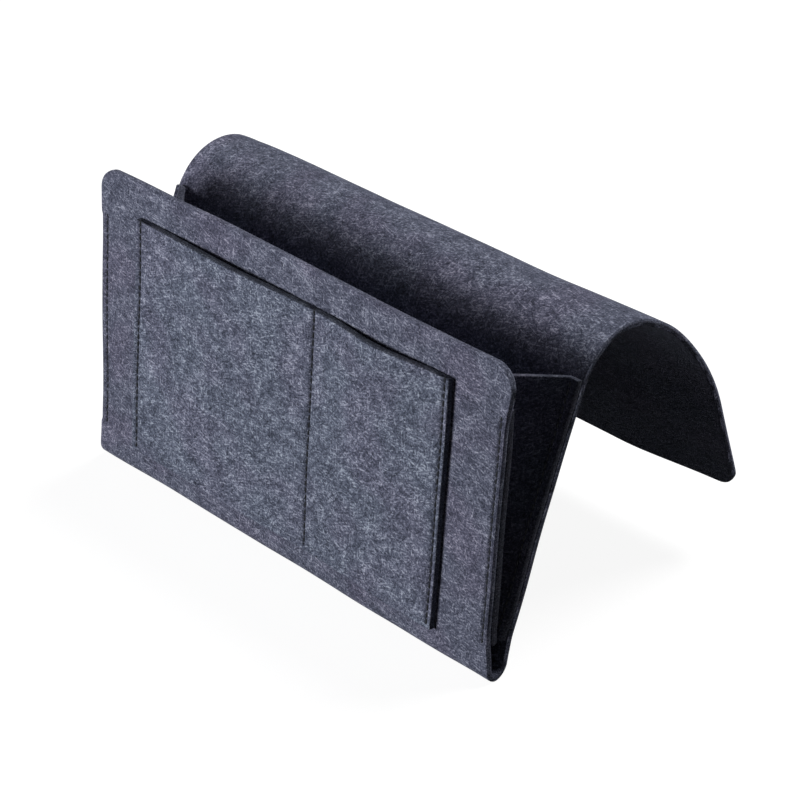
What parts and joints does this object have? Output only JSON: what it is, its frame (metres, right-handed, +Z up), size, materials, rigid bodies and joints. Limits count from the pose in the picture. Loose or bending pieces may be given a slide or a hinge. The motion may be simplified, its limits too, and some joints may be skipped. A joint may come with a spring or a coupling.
{
  "type": "bedside caddy",
  "caption": "Felt bedside caddy: a folded pouch with bellows gussets, a divided patch pocket on its front and an arched flap that hangs over a rail or goes under a mattress.",
  "frame": {"origin": "the top of the hollow under the arch, at mid width, where a rail or mattress edge carries the caddy", "axes": "+X along the width, to the right seen from the front; +Y from the front panel towards the bed; +Z up"},
  "size_m": [0.32, 0.2172, 0.196],
  "materials": {
    "body_felt": "thick needled felt, blue-grey charcoal melange",
    "pocket_felt": "thick needled felt, blue-grey charcoal melange",
    "gusset_felt": "thick needled felt, blue-grey charcoal melange",
    "thread": "dark polyester sewing thread"
  },
  "bodies": {
    "back": {"back_panel": "body_felt", "left_gusset": "gusset_felt", "right_gusset": "gusset_felt", "left_back_needle_thread": "thread", "left_back_bobbin_thread": "thread", "right_back_needle_thread": "thread", "right_back_bobbin_thread": "thread"},
    "front": {"front_panel": "body_felt", "pocket_panel": "pocket_felt", "pocket_edge_needle_thread": "thread", "pocket_edge_bobbin_thread": "thread", "divider_needle_thread": "thread", "divider_bobbin_thread": "thread", "left_front_needle_thread": "thread", "left_front_bobbin_thread": "thread", "right_front_needle_thread": "thread", "right_front_bobbin_thread": "thread"},
    "flap": {"mattress_flap": "body_felt"}
  },
  "joints": [
    {"name": "pouch_open", "type": "hinge", "parent": "back", "child": "front", "pos_m": [0, -0.08276, -0.1823], "axis": [1, 0, 0], "range_deg": [-4.5, 8], "stiffness_Nm_per_rad": 0.5, "springref_deg": -0.8, "deforming": ["left_gusset", "right_gusset"]},
    {"name": "flap_bend", "type": "hinge", "parent": "back", "child": "flap", "pos_m": [0, 0, 0.004], "axis": [1, 0, 0], "range_deg": [-40, 90], "stiffness_Nm_per_rad": 0.5, "springref_deg": 3.38}
  ]
}
